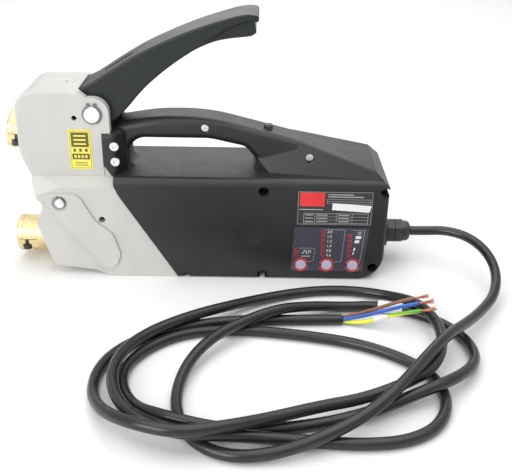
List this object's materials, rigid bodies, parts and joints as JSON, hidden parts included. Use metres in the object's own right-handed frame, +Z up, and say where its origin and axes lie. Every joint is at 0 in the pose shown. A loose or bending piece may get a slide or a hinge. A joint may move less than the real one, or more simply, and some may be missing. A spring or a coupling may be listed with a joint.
{
  "type": "spot welder",
  "caption": "Portable hand spot welder with squeeze lever, rocking upper electrode holder, arched handle, push-button panel and a stripped supply cable.",
  "frame": {"origin": "on the flat underside, in the mid plane of the two body shells, under the front of the hand opening's middle", "axes": "+X from the electrode end to the cable gland, +Y to the left side shell, +Z up from the underside"},
  "size_m": [0.5066, 0.3807, 0.2673],
  "materials": {
    "body_plastic": "fine moulded texture, near black",
    "head_paint": "satin light grey paint on die-cast metal",
    "lever_plastic": "satin near-black coating",
    "brass": "machined",
    "zinc_steel": "bright zinc plated",
    "black_steel": "blackened",
    "copper": "bare copper",
    "core_steel": "stacked laminations",
    "winding_wrap": "insulating tape over the winding",
    "board_green": "coated board",
    "part_plastic": "moulded housings",
    "sink_aluminium": "extruded",
    "panel_film": "printed film",
    "plate_film": "printed foil",
    "print_white": "screen print",
    "print_red": "screen print",
    "label_yellow": "printed foil",
    "lamp_lens": "diffuse lens",
    "button_plastic": "domed key top",
    "gland_plastic": "moulded, satin",
    "seal_rubber": "soft",
    "cord_rubber": "satin sheath",
    "core_brown": "insulation",
    "core_blue": "insulation",
    "core_earth": "green and yellow insulation",
    "tag_paper": "thin paper tag"
  },
  "bodies": {
    "housing": {"left_body_shell": "body_plastic", "right_body_shell": "body_plastic", "head_hood": "head_paint", "head_base": "head_paint", "lower_holder": "brass", "lever_pin": "zinc_steel", "fulcrum_pin": "zinc_steel", "lever_circlips": "zinc_steel", "fulcrum_circlips": "zinc_steel", "shell_screws": "zinc_steel", "handle_screws": "zinc_steel", "ear_screws": "zinc_steel", "core_clamps": "zinc_steel", "jaw_bolt": "zinc_steel", "lower_clamp_screw": "black_steel", "plunger_spring": "black_steel", "secondary_turn": "copper", "secondary_bar": "copper", "shunt_strap": "copper", "copper_ends": "copper", "lower_jaw": "brass", "transformer_core": "core_steel", "primary_coil": "winding_wrap", "control_board": "board_green", "board_parts": "part_plastic", "power_module": "part_plastic", "start_switch": "part_plastic", "heat_sink": "sink_aluminium", "panel_overlay": "panel_film", "rating_plate": "plate_film", "head_label": "label_yellow", "indicator_lamps": "lamp_lens", "gland_body": "gland_plastic", "gland_nut": "gland_plastic", "gland_locknut": "gland_plastic", "gland_seal": "seal_rubber", "core_pads": "seal_rubber", "power_cord": "cord_rubber", "brown_core": "core_brown", "blue_core": "core_blue", "earth_core": "core_earth", "cord_tag": "tag_paper"},
    "lever": {"squeeze_lever": "lever_plastic", "drive_crank": "black_steel", "crank_pin": "zinc_steel", "force_spring": "black_steel", "return_spring": "black_steel"},
    "adjuster": {"force_adjuster": "zinc_steel"},
    "link": {"drive_link": "zinc_steel"},
    "rocking_jaw": {"upper_jaw": "brass", "upper_holder": "brass", "upper_clamp_screw": "black_steel", "jaw_pin": "zinc_steel"},
    "plunger": {"start_plunger": "part_plastic"},
    "left_key": {"left_button": "button_plastic"},
    "middle_key": {"middle_button": "button_plastic"},
    "right_key": {"right_button": "button_plastic"}
  },
  "joints": [
    {"name": "lever_pivot", "type": "hinge", "parent": "housing", "child": "lever", "pos_m": [-0.118, 0, 0.172], "axis": [0, 1, 0], "range_deg": [0, 33], "stiffness_Nm_per_rad": 1.5, "springref_deg": -34.38},
    {"name": "upper_jaw_pivot", "type": "hinge", "parent": "housing", "child": "rocking_jaw", "pos_m": [-0.155, 0, 0.0835], "axis": [0, 1, 0], "range_deg": [-8, 0], "deforming": ["shunt_strap"]},
    {"name": "link_pivot", "type": "hinge", "parent": "lever", "child": "link", "pos_m": [-0.11317, 0, 0.1557], "axis": [0, 1, 0], "range_deg": [-30.01, 0]},
    {"name": "force_adjuster_turn", "type": "hinge", "parent": "lever", "child": "adjuster", "pos_m": [-0.096, 0, 0.195], "axis": [0, 0, 1], "range_deg": [-180, 180]},
    {"name": "start_plunger_press", "type": "slide", "parent": "housing", "child": "plunger", "axis": [0, 0, -1], "range_m": [0, 0.00301], "stiffness_N_per_m": 250, "springref_m": -0.002, "deforming": ["plunger_spring"]},
    {"name": "left_key_press", "type": "slide", "parent": "housing", "child": "left_key", "axis": [0, 1, 0], "range_m": [0, 0.0008], "stiffness_N_per_m": 400, "springref_m": -0.001},
    {"name": "middle_key_press", "type": "slide", "parent": "housing", "child": "middle_key", "axis": [0, 1, 0], "range_m": [0, 0.0008], "stiffness_N_per_m": 400, "springref_m": -0.001},
    {"name": "right_key_press", "type": "slide", "parent": "housing", "child": "right_key", "axis": [0, 1, 0], "range_m": [0, 0.0008], "stiffness_N_per_m": 400, "springref_m": -0.001}
  ],
  "couplings": [
    {"joint": "upper_jaw_pivot", "follows": "lever_pivot", "ratio": -0.24242},
    {"joint": "link_pivot", "follows": "lever_pivot", "ratio": -0.90909},
    {"joint": "start_plunger_press", "follows": "lever_pivot", "m_per_rad": 0.0052087}
  ]
}
